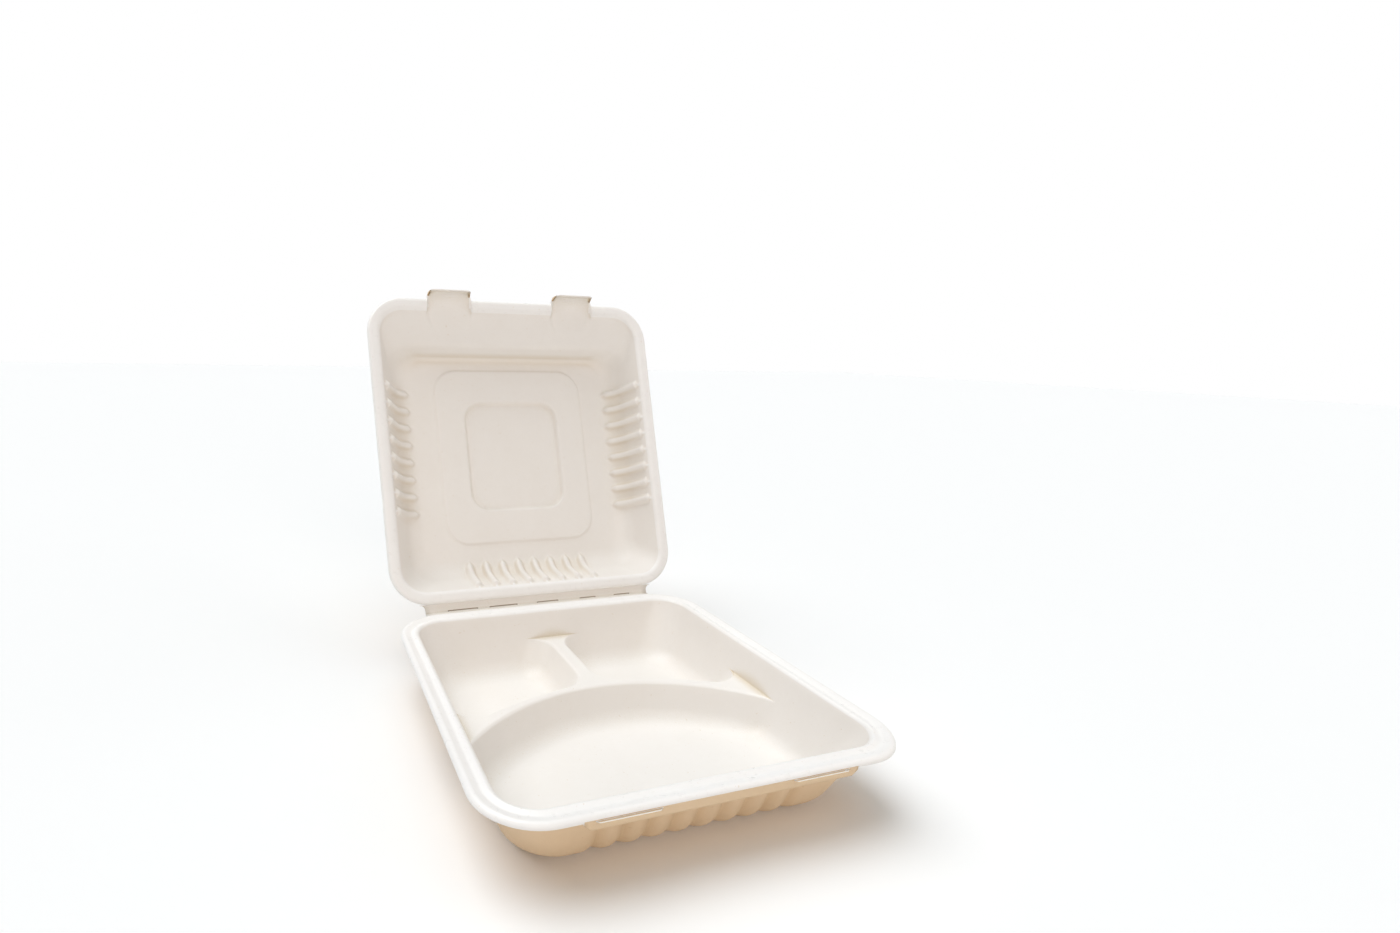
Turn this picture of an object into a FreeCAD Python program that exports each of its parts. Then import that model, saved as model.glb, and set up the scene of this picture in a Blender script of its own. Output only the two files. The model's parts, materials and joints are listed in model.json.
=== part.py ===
"""Three-compartment clamshell container, moulded in one sheet from plant fibre.

The base tray stands on the table and the lid stands open behind it. A strip along
the back joins them, creased and slit down its middle, and the lid turns on that
crease. Each half is a skin of even thickness: outer forms less inner forms.
Origin: centre of the footprint on the table. +Y points to the hinge, +Z up.
Millimetres.
"""
import FreeCAD, Part
import math
import os

V = FreeCAD.Vector

# overall sizes
tray_width = 228.0          # along X, over the rim
tray_length = 230.0         # along Y, over the rim
base_height = 45.0
lid_depth = 30.1            # rim plane to the inside of the lid's panel
base_sheet = 0.9            # thickness of the moulded fibre
lid_sheet = 0.75            # the lid is thinner, so the box stands open without tipping back
lid_lean = 23.3             # the open lid leans back this far from upright

# rims: (inset from the outer edge, drop below the crest)
base_rim = [(0.0, 2.8), (0.5, 1.3), (1.5, 0.35), (3.0, 0.0), (5.0, 0.8), (6.8, 1.5),
            (8.4, 0.9), (9.8, 0.3), (11.2, 0.8), (12.2, 2.0)]
lid_rim = [(0.0, 2.8), (0.4, 1.2), (1.3, 0.3), (3.0, 0.0), (6.0, 0.05), (8.0, 0.6),
           (9.0, 2.0)]
lip_drop = base_rim[0][1]
base_corner = 32.0          # plan radius of the rim's outer corner
lid_corner = 28.0

# walls
base_lean = 15.0            # degrees from upright
base_wall_inset = 12.7      # where the wall starts, at base_wall_drop below the crest
base_wall_drop = 4.0
base_foot = 6.0             # radius between wall and floor
lid_wall_lean = 25.0
lid_wall_inset = 9.9
lid_wall_drop = 3.9
lid_foot = 19.0
corner_growth = 0.17        # plan corner radius gained per mm of depth

# dividers
divider_top = 25.0
divider_lean = 18.0
divider_head = 2.6          # radius along the top edges
divider_foot = 8.0
flank_middle = 15.0         # level that halves the compartments' tall walls
front_arch = (130.0, 20.0)  # radius and apex Y of the arch's front edge
back_arch = (160.0, 24.5)   # the same for its back edge
stem_half = 5.0             # half width of the divider that runs back from the arch
front_flare = 18.0          # plan corner radii where the dividers meet walls
side_flare = 22.0
stem_flare = 22.0
arch_flare = 20.0

# flutes of the base's front wall: valleys pressed in, with round swellings between them
flute_pitch = 13.5
flute_count = 9
flute_depth = 1.5
flute_run = (43.5, 36.0)    # heights where the valleys start and where they are full

# ribs of the lid: narrow ridges pressed in on both sides and along the hinge
rib_pitch = 13.5
rib_count = 8
rib_height = 2.2
rib_crest = 1.0             # width along the crest
rib_spread = 1.2            # foot width gained on each flank per mm of height
rib_end = 0.35              # height where a rib starts and stops
rib_bend = 1.5              # height halfway round the wall's foot
rib_run = (-5.0, -7.5)      # below the rim plane: from where it starts to its full height

# panel of the lid: a low raised field with a sunk window in its middle
field_size = (123.0, 139.0)
field_corner = 18.0
field_rise = 0.7
field_slope = 1.5           # plan width of its sloping edge
window_size = (78.0, 87.0)
window_corner = 14.0
window_depth = 2.0          # below the field
window_slope = 0.6

# hinge strip
crease_reach = 4.7          # rim edge to crease
crease_gap = 0.3            # between the halves, which the crease joins
strip_half_width = 90.0
strip_root = 0.3            # the strip starts this far inside the rim's edge
strip_rise = 2.1            # the strip climbs this much from the lip to the crease
strip_sheet = 0.8
slit_count = 5
slit_pitch = 32.5
slit_length = 18.0
slit_width = 1.3

# closing tongues of the lid
tongue_centre = 50.3        # either side of the middle
tongue_width = 31.0
tongue_root = 14.0          # depth below the rim plane where the pocket starts
tongue_bend = 1.6           # outside the rim's edge, where the tongue turns upright
tongue_tip = (2.2, 8.5)     # outside the rim's edge, beyond the rim plane
tongue_round = 3.5          # corners at the tip
pocket_chamfer = 4.0        # corners at the root
pocket_mouth = (9.0, 3.4)   # the rim is open here: inside its edge, below its crest
pocket_sink = 0.3           # the pocket's cheeks stop this far below the crest

# apron under the base's front lip, with the slots that take the tongues
apron_half_width = 71.5
apron_foot = 38.0           # height of its lower edge
apron_chamfer = 3.0
slot_width = 32.0
slot_height = 1.0
belt_proud = 1.2            # the belt below each slot stands this far in front of the lip
belt_ramp = 2.5             # length of its sloping ends

rim_gap = 0.1               # from each rim's crest to the hinge axis
hinge_y = tray_length / 2 + crease_reach
hinge_z = base_height + rim_gap


def tangent(degrees):
    return math.tan(math.radians(degrees))


def cosine(degrees):
    return math.cos(math.radians(degrees))


def sine(degrees):
    return math.sin(math.radians(degrees))


# ---- outlines: lists of edges, counter-clockwise seen from above ----

def line(start, end):
    return Part.LineSegment(start, end).toShape()


def arc(centre, radius, from_degrees, to_degrees):
    """Edge from one angle to the other about a vertical axis, either way round."""
    def at(degrees):
        return centre + V(radius * cosine(degrees), radius * sine(degrees), 0)
    return Part.Arc(at(from_degrees), at((from_degrees + to_degrees) / 2), at(to_degrees)).toShape()


def plain_side(start, end):
    return [line(start, end)]


def fluted_side(depth):
    """Way to draw a side with a row of valleys pressed in, arcs swelling between them."""
    def side(start, end):
        along = (end - start).normalize()
        outward = V(along.y, -along.x, 0)
        first = (start + end) * 0.5 - along * (flute_pitch * flute_count / 2)
        last = first + along * (flute_pitch * flute_count)
        marks = [first + along * (flute_pitch * (k + 0.5)) - outward * depth for k in range(flute_count)]
        if not depth:
            points = [start, first] + marks + [last, end]
            return [line(a, b) for a, b in zip(points, points[1:])]
        radius = (flute_pitch ** 2 / 4 + depth ** 2) / (2 * depth)
        half_turn = math.asin(flute_pitch / 2 / radius) / 2
        sunk = outward * (radius * (1 - math.cos(half_turn)))
        step = along * (radius * math.sin(half_turn))
        edges = [line(start, first), Part.Arc(first, first + step - sunk, marks[0]).toShape()]
        for left, right in zip(marks, marks[1:]):
            edges.append(Part.Arc(left, (left + right) * 0.5 + outward * depth, right).toShape())
        edges.append(Part.Arc(marks[-1], last - step - sunk, last).toShape())
        edges.append(line(last, end))
        return edges
    return side


def ribbed_side(height):
    """Way to draw a side with a row of narrow ribs pressed in; their flanks keep their slope."""
    def side(start, end):
        along = (end - start).normalize()
        inward = V(-along.y, along.x, 0) * height
        points = [start]
        for k in range(rib_count):
            centre = (start + end) * 0.5 + along * (rib_pitch * (k - (rib_count - 1) / 2))
            crest = along * (rib_crest / 2)
            foot = crest + along * (rib_spread * height)
            points += [centre - foot, centre - crest + inward, centre + crest + inward, centre + foot]
        points.append(end)
        return [line(a, b) for a, b in zip(points, points[1:])]
    return side


def rounded_outline(half_x, half_y, radius, z, sides=(plain_side,) * 4):
    """Rounded rectangle; sides are the ways to draw its front, right, back and left."""
    x, y = half_x - radius, half_y - radius
    corners = [V(x, -y, z), V(x, y, z), V(-x, y, z), V(-x, -y, z)]
    ends = [(V(-x, -half_y, z), V(x, -half_y, z)), (V(half_x, -y, z), V(half_x, y, z)),
            (V(x, half_y, z), V(-x, half_y, z)), (V(-half_x, y, z), V(-half_x, -y, z))]
    edges = []
    for k in range(4):
        edges += sides[k](*ends[k])
        edges.append(arc(corners[k], radius, 90 * k - 90, 90 * k))
    return edges


def front_outline(half_x, half_y, grow, radius, extra, z, depth):
    """Large compartment: three walls and the arch, which bounds it at the back."""
    arch_radius, apex = front_arch
    centre = V(0, apex - arch_radius, z)
    arch_radius = arch_radius - grow
    flare = front_flare - extra
    side_x = half_x - flare
    reach = math.sqrt((arch_radius - flare) ** 2 - side_x ** 2)
    flare_centre = centre + V(side_x, reach, 0)
    angle = math.degrees(math.atan2(reach, side_x))
    x, y = half_x - radius, half_y - radius
    edges = fluted_side(depth)(V(-x, -half_y, z), V(x, -half_y, z))
    edges.append(arc(V(x, -y, z), radius, -90, 0))
    edges.append(line(V(half_x, -y, z), V(half_x, flare_centre.y, z)))
    edges.append(arc(flare_centre, flare, 0, angle))
    edges.append(arc(centre, arch_radius, angle, 180 - angle))
    edges.append(arc(V(-side_x, flare_centre.y, z), flare, 180 - angle, 180))
    edges.append(line(V(-half_x, flare_centre.y, z), V(-half_x, -y, z)))
    edges.append(arc(V(-x, -y, z), radius, 180, 270))
    return edges


def back_outline(half_x, half_y, grow, radius, extra, z):
    """Small compartment on the right: arch, side wall, back wall and stem."""
    arch_radius, apex = back_arch
    centre = V(0, apex - arch_radius, z)
    arch_radius = arch_radius + grow
    stem_x = stem_half + grow
    wall_flare = side_flare - extra
    wall_centre = centre + V(half_x - wall_flare,
                             math.sqrt((arch_radius + wall_flare) ** 2 - (half_x - wall_flare) ** 2), 0)
    wall_angle = math.degrees(math.atan2(wall_centre.y - centre.y, wall_centre.x))
    inner_flare = arch_flare - extra
    inner_centre = centre + V(stem_x + inner_flare,
                              math.sqrt((arch_radius + inner_flare) ** 2 - (stem_x + inner_flare) ** 2), 0)
    inner_angle = math.degrees(math.atan2(inner_centre.y - centre.y, inner_centre.x))
    rear_flare = stem_flare - extra
    x, y = half_x - radius, half_y - radius
    return [arc(centre, arch_radius, inner_angle, wall_angle),
            arc(wall_centre, wall_flare, wall_angle - 180, 0),
            line(V(half_x, wall_centre.y, z), V(half_x, y, z)),
            arc(V(x, y, z), radius, 0, 90),
            line(V(x, half_y, z), V(stem_x + rear_flare, half_y, z)),
            arc(V(stem_x + rear_flare, half_y - rear_flare, z), rear_flare, 90, 180),
            line(V(stem_x, half_y - rear_flare, z), V(stem_x, inner_centre.y, z)),
            arc(inner_centre, inner_flare, 180, inner_angle + 180)]


# ---- skins: solids from a pile of outlines with the same number of edges ----

def bands(lower, upper):
    """Faces between two outlines: flat ones between straight edges, ruled ones between arcs."""
    faces = []
    for a, b in zip(lower, upper):
        if a.Curve.TypeId == b.Curve.TypeId == "Part::GeomLine":
            corners = [a.valueAt(a.FirstParameter), a.valueAt(a.LastParameter),
                       b.valueAt(b.LastParameter), b.valueAt(b.FirstParameter)]
            faces.append(Part.Face(Part.makePolygon(corners + corners[:1])))
        else:
            faces.append(Part.makeRuledSurface(a, b))
    return faces


def as_solid(faces):
    shell = Part.makeShell(faces)
    shell.sewShape(1e-4)
    solid = Part.makeSolid(shell if shell.ShapeType == "Shell" else shell.Shells[0])
    if solid.Volume < 0:
        solid.reverse()
    return solid


def filled(outlines):
    """Solid between the first and the last outline."""
    faces = [Part.Face(Part.Wire(outlines[0])), Part.Face(Part.Wire(outlines[-1]))]
    for lower, upper in zip(outlines, outlines[1:]):
        faces += bands(lower, upper)
    return as_solid(faces)


def ring(outlines):
    """Solid whose section is the closed loop that the outlines run through."""
    faces = []
    for k in range(len(outlines)):
        faces += bands(outlines[k - 1], outlines[k])
    return as_solid(faces)


def offset_profile(points, distance):
    """The open line through points, moved sideways to its right."""
    moved = []
    for k, (x, z) in enumerate(points):
        before = points[max(k - 1, 0)]
        after = points[min(k + 1, len(points) - 1)]
        step_in = math.atan2(z - before[1], x - before[0]) if k else None
        step_out = math.atan2(after[1] - z, after[0] - x) if k < len(points) - 1 else step_in
        step_in = step_out if step_in is None else step_in
        heading = (step_in + step_out) / 2
        reach = distance / math.cos((step_out - step_in) / 2)
        moved.append((x + reach * math.sin(heading), z - reach * math.cos(heading)))
    return moved


class Wall:
    """The inside of a tray's leaning wall, which runs into the floor through a rounded foot."""

    def __init__(self, lean, inset, top, foot, floor, corner):
        self.lean, self.inset, self.top = lean, inset, top
        self.foot, self.floor, self.corner = foot, floor, corner
        self.foot_z = floor + foot
        self.foot_inset = self.straight(self.foot_z, 0) + foot / cosine(lean)

    def straight(self, z, skin):
        """Inset at height z if the wall had no foot; skin lies outside the inner face."""
        return self.inset + (self.top - z) * tangent(self.lean) - skin / cosine(self.lean)

    def at(self, z, skin):
        radius = self.foot + skin
        if z >= self.foot_z - radius * sine(self.lean):
            return self.straight(z, skin)
        return self.foot_inset - math.sqrt(max(radius ** 2 - (self.foot_z - z) ** 2, 0))

    def foot_levels(self, skin, count=2):
        """Heights from the start of the foot down to the floor."""
        radius = self.foot + skin
        angles = [(90 - self.lean) * (1 - k / count) for k in range(count + 1)]
        return [self.foot_z - radius * cosine(angle) for angle in angles]

    def corner_at(self, z, skin):
        """Plan radius: it grows with depth and shrinks again round the foot."""
        grown = self.corner - self.inset + corner_growth * (self.top - z)
        return grown + skin - (self.at(z, skin) - self.straight(z, skin))

    def section(self, z, skin, sides):
        inset = self.at(z, skin)
        return rounded_outline(tray_width / 2 - inset, tray_length / 2 - inset,
                               self.corner_at(z, skin), z, sides)


class Flank(Wall):
    """A divider's flank, with a rounded head as well."""

    def at(self, z, skin):
        head_z = self.top - divider_head
        radius = divider_head - skin
        if z > head_z + radius * sine(self.lean):
            centre = self.straight(head_z, 0) - divider_head / cosine(self.lean)
            return centre + math.sqrt(max(radius ** 2 - (z - head_z) ** 2, 0))
        return super().at(z, skin)

    def head_levels(self, skin, count=2):
        """Heights from the top down to the end of the rounded head."""
        radius = divider_head - skin
        angles = [(90 - self.lean) * k / count for k in range(count + 1)]
        return [self.top - divider_head + radius * cosine(angle) for angle in angles]


base_wall = Wall(base_lean, base_wall_inset, base_height - base_wall_drop, base_foot, base_sheet,
                 base_corner)
flank = Flank(divider_lean, 0.0, divider_top, divider_foot, base_sheet, 0.0)
lid_wall = Wall(lid_wall_lean, lid_wall_inset, -lid_wall_drop, lid_foot, -lid_depth, lid_corner)


def ramp(value, start, full):
    """0 before start, 1 after full, and even between them."""
    return min(max((value - start) / (full - start), 0), 1)


def collar(rim, wall, crest, skin, levels, sides):
    """A tray's rim and the part of its wall that the levels reach; sides gives them at a level."""
    def rounds(profile):
        return [rounded_outline(tray_width / 2 - inset, tray_length / 2 - inset,
                                wall.corner - inset, crest + z, sides(crest)) for inset, z in profile]
    top = [(inset, -drop) for inset, drop in rim]
    under = offset_profile(top + [(wall.inset, wall.top - crest)], skin)[:-1]
    under = under[:1] + under[1::2]
    inside = [wall.section(z, 0.0, sides(z)) for z in levels]
    outside = [wall.section(z, skin, sides(z)) for z in levels]
    return ring(rounds(top) + inside + outside[::-1] + rounds(under[::-1]))


def extruded(points, axis, start, length):
    """Prism of a closed polygon along an axis; points give the other two coordinates in order."""
    place = {"X": lambda a, b: V(start, a, b), "Y": lambda a, b: V(a, start, b),
             "Z": lambda a, b: V(a, b, start)}[axis]
    reach = {"X": V(length, 0, 0), "Y": V(0, length, 0), "Z": V(0, 0, length)}[axis]
    corners = [place(a, b) for a, b in points]
    return Part.Face(Part.makePolygon(corners + corners[:1])).extrude(reach)


# ---- base ----

def front_fluting(z):
    """Depth of the front wall's valleys at height z."""
    return flute_depth * ramp(z, *flute_run)


def base_sides(z):
    return (fluted_side(front_fluting(z)), plain_side, plain_side, plain_side)


def divider_plate():
    """The sheet at the dividers' top level, before the compartments are sunk in it."""
    return filled([base_wall.section(z, base_sheet, base_sides(z))
                   for z in (divider_top, divider_top - base_sheet)])


def compartment(which, skin):
    """Drafted pocket with rounded head and foot; skin 0 is its inside."""
    head_steps = 1 if skin else 2
    outlines = []
    for z in flank.head_levels(skin, head_steps) + [flank_middle] + flank.foot_levels(skin):
        inset = base_wall.at(z, skin)
        grow = flank.at(z, skin)
        extra = grow - flank.straight(z, skin) - skin
        place = (tray_width / 2 - inset, tray_length / 2 - inset, grow,
                 base_wall.corner_at(z, skin), extra, z)
        if which == "front":
            outlines.append(front_outline(*place, front_fluting(z)))
        else:
            outlines.append(back_outline(*place))
    pocket = filled(outlines)
    if skin == 0.0:
        mouth = Part.Face(Part.Wire(outlines[0]))
        pocket = pocket.fuse(mouth.extrude(V(0, 0, 1)))
    return pocket.mirror(V(0, 0, 0), V(1, 0, 0)) if which == "left" else pocket


def belt(middle, face, top):
    """Length of the apron that is pressed forward, so that a tongue can reach behind it."""
    half = slot_width / 2
    front = [(middle - half, face), (middle - half + belt_ramp, face - belt_proud),
             (middle + half - belt_ramp, face - belt_proud), (middle + half, face)]
    back = [(x, y + base_sheet) for x, y in front[::-1]]
    return extruded(front + back, "Z", apron_foot, top - slot_height - apron_foot)


def apron():
    """Plate that hangs from the front lip, open at a slot above each belt."""
    half, top, face = apron_half_width, base_height - lip_drop, -tray_length / 2
    join = top + base_sheet / 3
    plate = extruded([(-half, join), (half, join),
                      (half, apron_foot + apron_chamfer), (half - apron_chamfer, apron_foot),
                      (apron_chamfer - half, apron_foot), (-half, apron_foot + apron_chamfer)],
                     "Y", face, base_sheet)
    for middle in (-tongue_centre, tongue_centre):
        gap = Part.makeBox(slot_width, 2 * base_sheet, top - apron_foot,
                           V(middle - slot_width / 2, face - base_sheet / 2, apron_foot))
        plate = plate.cut(gap).fuse(belt(middle, face, top))
    return plate


def strip_half():
    """The base's half of the hinge strip, out to the crease."""
    edge = hinge_y - crease_gap / 2
    rim_y = tray_length / 2 - strip_root
    slope = strip_rise / (hinge_y - rim_y)
    low, high = hinge_z - strip_rise, hinge_z - slope * crease_gap / 2
    span = 2 * (strip_half_width + crease_reach)
    plate = extruded([(rim_y, low), (edge, high), (edge, high - strip_sheet), (rim_y, low - strip_sheet)],
                     "X", -span / 2, span)
    radius = edge - tray_length / 2
    for side in (-1, 1):
        corner = V(side * (strip_half_width + radius), edge, 0)
        plate = plate.cut(Part.makeCylinder(radius, base_height * 2, corner))
    first = -(slit_pitch * (slit_count - 1) + slit_length) / 2
    slits = [Part.makeBox(slit_length, slit_width, base_height,
                          V(first + k * slit_pitch, hinge_y - slit_width / 2, base_height / 2))
             for k in range(slit_count)]
    return plate.cut(slits)


def make_base():
    names = ("front", "right", "left")
    rim = collar(base_rim, base_wall, base_height, base_sheet,
                 [base_wall.top, flute_run[1], divider_top], base_sides)
    outer = [compartment(name, base_sheet) for name in names]
    inner = [compartment(name, 0.0) for name in names]
    body = rim.fuse([divider_plate()] + outer).cut(inner)
    return body.fuse([apron(), strip_half()])


# ---- lid: modelled flat and open upwards, rim crest at height 0, hinge side at -Y ----

def plain_sides(z):
    return (plain_side,) * 4


def pan(skin):
    """The lid's room below its collar, or that plus the skin round it, with its ribs."""
    outlines = []
    heights = [rib_end, rib_height, rib_height, rib_bend, rib_end]
    for z, height in zip([*rib_run] + lid_wall.foot_levels(skin), heights):
        ribbed = ribbed_side(height)
        outlines.append(lid_wall.section(z, skin, (ribbed, ribbed, plain_side, ribbed)))
    return filled(outlines)


def pad(size, corner, top, bottom, slope, shift):
    """Low block for the field or the window; its plan grows by slope from bottom to top."""
    def outline(grow, z):
        return rounded_outline(size[0] / 2 + grow, size[1] / 2 + grow, corner + grow, z)
    return filled([outline(shift + max(slope, 0), top), outline(shift - min(slope, 0), bottom)])


def panelled(room, skin):
    """Raises the field from the room's floor and sinks the window in it."""
    floor = -lid_depth - skin
    turn = math.atan2(field_rise, field_slope)
    field = pad(field_size, field_corner, floor + field_rise, floor, -field_slope,
                -skin * math.tan(turn / 2))
    turn = math.atan2(window_depth, window_slope)
    window = pad(window_size, window_corner, floor + field_rise, floor + field_rise - window_depth,
                 window_slope, skin * math.tan(turn / 2) - window_slope)
    return room.cut(field).fuse(window)


def tongue_outline(grow):
    """Front view of a tongue and its pocket: rounded tip, chamfered root."""
    half, top, foot = tongue_width / 2 + grow, tongue_tip[1], -tongue_root - grow
    r, c = tongue_round, pocket_chamfer
    edges = [line(V(half, 0, foot + c), V(half, 0, top - r)),
             Part.Arc(V(half, 0, top - r), V(half - r + r * sine(45), 0, top - r + r * sine(45)),
                      V(half - r, 0, top)).toShape(),
             line(V(half - r, 0, top), V(r - half, 0, top)),
             Part.Arc(V(r - half, 0, top), V(r - half - r * sine(45), 0, top - r + r * sine(45)),
                      V(-half, 0, top - r)).toShape(),
             line(V(-half, 0, top - r), V(-half, 0, foot + c)),
             line(V(-half, 0, foot + c), V(c - half, 0, foot)),
             line(V(c - half, 0, foot), V(half - c, 0, foot)),
             line(V(half - c, 0, foot), V(half, 0, foot + c))]
    return Part.Face(Part.Wire(edges)).extrude(V(0, tray_length, 0))


def with_tongue(lid, x):
    """Opens the far rim at x and closes it with a pocket that ends in a tongue."""
    edge = tray_length / 2
    half = tongue_width / 2
    root = (edge - lid_wall.straight(-tongue_root, 0), -tongue_root)
    path = [root, (edge + tongue_bend, 0.0), (edge + tongue_tip[0], tongue_tip[1])]
    outer = offset_profile(path, lid_sheet)
    crest = [(edge - inset, -drop - pocket_sink) for inset, drop in lid_rim[3:]]
    block = extruded(outer + path[:0:-1] + crest + [root], "X", x - half - lid_sheet,
                     2 * (half + lid_sheet))
    block = block.common(tongue_outline(lid_sheet).translate(V(x, 0, 0)))
    above = tongue_tip[1] + 1
    room = extruded(path + [(path[-1][0], above), (edge / 2, above), (edge / 2, -tongue_root)],
                    "X", x - half, 2 * half)
    room = room.common(tongue_outline(0.0).translate(V(x, 0, 0)))
    lip = Part.makeBox(2 * half, 2 * pocket_mouth[0], 2 * pocket_mouth[1],
                       V(x - half, edge - pocket_mouth[0], -pocket_mouth[1]))
    return lid.cut(lip).fuse(block).cut(room)


def make_lid():
    rim = collar(lid_rim, lid_wall, 0.0, lid_sheet, [lid_wall.top, rib_run[0]], plain_sides)
    lid = rim.fuse(panelled(pan(lid_sheet), lid_sheet)).cut(panelled(pan(0.0), 0.0))
    for side in (-1, 1):
        lid = with_tongue(lid, side * tongue_centre)
    lid.translate(V(0, hinge_y + crease_reach + tray_length / 2, hinge_z - rim_gap))
    lid = lid.fuse(strip_half().mirror(V(0, hinge_y, 0), V(0, 1, 0)))
    lid.rotate(V(0, hinge_y, hinge_z), V(1, 0, 0), 90 - lid_lean)
    return lid


os.makedirs("parts", exist_ok=True)
for name, shape in (("base", make_base()), ("lid", make_lid())):
    shape.removeSplitter().exportStep("parts/" + name + ".step")
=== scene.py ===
"""Three-compartment clamshell container of moulded plant fibre, standing open.

Both trays are one smooth skin each, built as loops of points from the lip inwards, and
given their thickness at the end. Lengths are millimetres until a mesh is made.
"""
import json
import math

import bmesh
import bpy
from mathutils import Matrix, Vector


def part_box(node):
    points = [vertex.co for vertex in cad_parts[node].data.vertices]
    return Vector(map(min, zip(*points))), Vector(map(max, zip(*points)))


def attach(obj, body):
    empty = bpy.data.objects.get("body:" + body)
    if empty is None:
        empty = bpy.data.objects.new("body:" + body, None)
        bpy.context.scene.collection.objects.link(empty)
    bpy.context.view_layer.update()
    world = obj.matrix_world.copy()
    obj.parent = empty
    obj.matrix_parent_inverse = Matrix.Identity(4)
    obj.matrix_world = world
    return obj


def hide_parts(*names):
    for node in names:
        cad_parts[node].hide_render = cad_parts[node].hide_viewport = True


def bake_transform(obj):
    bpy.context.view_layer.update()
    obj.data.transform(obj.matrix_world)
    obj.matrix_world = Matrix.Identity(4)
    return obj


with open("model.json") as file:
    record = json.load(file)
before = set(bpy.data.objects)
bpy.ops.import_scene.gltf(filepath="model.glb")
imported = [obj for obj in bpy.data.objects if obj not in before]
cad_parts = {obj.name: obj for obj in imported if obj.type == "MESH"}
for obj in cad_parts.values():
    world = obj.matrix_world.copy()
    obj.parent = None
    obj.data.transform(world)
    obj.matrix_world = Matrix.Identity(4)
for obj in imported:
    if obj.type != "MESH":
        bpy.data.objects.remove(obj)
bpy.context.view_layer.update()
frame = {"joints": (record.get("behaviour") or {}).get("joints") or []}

MM = 0.001
hinge = frame["joints"][0]
hinge_point = Vector(hinge["pos_m"]) / MM

# sizes of both trays
half_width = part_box("base")[1].x / MM
half_length = 115.0
base_height = 45.0
base_sheet = 0.9
lid_sheet = 0.75
lid_lean = 23.3             # of the open lid, in degrees back from the upright
crease_reach = hinge_point.y - half_length
weld_distance = 1e-3        # points closer than this are one

# rims: (inset from the outer edge, drop below the crest)
base_rim = [(0.0, 2.8), (0.15, 1.9), (0.6, 1.1), (1.5, 0.35), (3.0, 0.0), (5.0, 0.75), (6.8, 1.4),
            (8.4, 0.9), (9.8, 0.3), (11.2, 0.8), (12.1, 1.9)]
lid_rim = [(0.0, 2.8), (0.1, 1.9), (0.45, 1.0), (1.3, 0.3), (2.6, 0.0), (4.6, 0.0), (6.4, 0.1),
           (8.0, 0.7), (9.1, 2.0)]
base_corner = 32.0
lid_corner = 28.0
corner_growth = 0.17        # plan radius that a wall's corners gain per mm of depth
rim_highlight_depth = 2.85             # the rims' glossier finish and lighter colour, a painted highlight, reach this far below the crest

# dividers
divider_top = 25.0
divider_lean = 18.0
divider_head = 2.6          # radius between the flat top and a flank
divider_foot = 12.0         # radius between a flank and the floor
front_arch = (130.0, 20.0)  # radius, and how far back the arch's middle is
back_arch = (160.0, 24.5)
stem_half = 5.0
front_flare = 18.0
side_flare = 15.0
stem_flare = 17.0
arch_flare = 20.0
tighten = 0.28              # plan radius that the front flares lose per mm of depth
plate_border = 0.4          # width of the flat strip round each mouth

# flutes of the base's front wall
flute_pitch = 13.5
flute_depth = 3.0
flute_count = 9
flute_run = (42.5, 34.0)    # levels between which the flutes deepen

# ribs of the lid
rib_pitch = 13.5
rib_count = 8
rib_height = 3.2
rib_half = 4.7
rib_shift = 2.8             # the side rows lie this much nearer the far wall
rib_steps = 7               # points on each flank
rib_run = (-3.0, -5.6)      # levels between which the ribs rise
rib_end_tilt = 86.0         # the ribs have died away where the wall's foot is this flat

# panel of the lid, with a sunken window; edges: (outwards, share of the step made there)
field_half = (61.5, 69.5)
field_corner = 18.0
field_rise = 1.1
field_edge = [(6.0, 0.0), (2.0, 0.0), (1.4, 0.1), (0.7, 0.5), (0.0, 0.9), (-0.6, 1.0), (-2.5, 1.0)]
window_half = (39.0, 43.5)
window_corner = 14.0
window_depth = 3.2
window_edge = [(2.8, 0.0), (1.4, 0.0), (0.9, 0.05), (0.4, 0.22), (-0.9, 0.78), (-1.4, 0.95),
               (-1.9, 1.0), (-3.5, 1.0)]

# tongues, with a pocket behind each one: (outwards from the lid's edge, up from its crest)
tongue_centre = 50.3
tongue_half = 15.5
tongue_tip = (2.2, 8.5)
tongue_bend = (1.6, 0.0)
tongue_root = -9.5          # level at which a pocket leaves the far wall
tongue_taper = 4.0          # a pocket is narrower by this on each side at its root
tongue_splay = 1.3          # what stands out is wider by this on each side
tongue_round = 3.5
tongue_reach = 20.0         # nothing is drawn out this far from its middle or in from the edge

# apron, and the slots that take the tongues
apron_half = 71.5
apron_foot = 38.0
apron_bevel = 3.0
belt_proud = 1.2            # a belt stands out this far below each slot
slot_half = 16.0
slot_levels = (42.0, 42.6)

# strip
strip_half_width = 90.0
strip_plain_half = 84.0     # the fillets at the lips widen the strip from here outwards
strip_fillet = 4.0
strip_sheet = 0.8
strip_drop = 2.3            # it leaves both lips this far below their crests
slit_way = (0.5, 0.87)      # direction, as (y, z), in which the strip rises from its crease
slit_rise = 0.3             # from the crease to the slits
slit_flank = 0.4            # half the width of their groove
slit_depth = 0.75
slits = [(-62.0, 11.5), (-30.5, 11.0), (5.0, 8.8), (38.5, 6.8), (68.0, 6.8)]    # middle, half length

# fibre: tints that a shade is multiplied by; the specks are the fibre's own, the crease tint is painted
# shade
speck_tint = (0.84, 0.76, 0.64)
painted_crease_shade_tint = (0.77, 0.69, 0.55)
crease_shade_reach = 0.014          # metres; faces nearer than this close a crease, and that crease gets painted shade


def smooth_step(value, start, full):
    """0 up to start and 1 from full on, or the other way round if full is lower."""
    t = min(max((value - start) / (full - start), 0.0), 1.0)
    return t * t * (3 - 2 * t)


# ---- plan curves: lists of (x, y), without their last point ----

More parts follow.
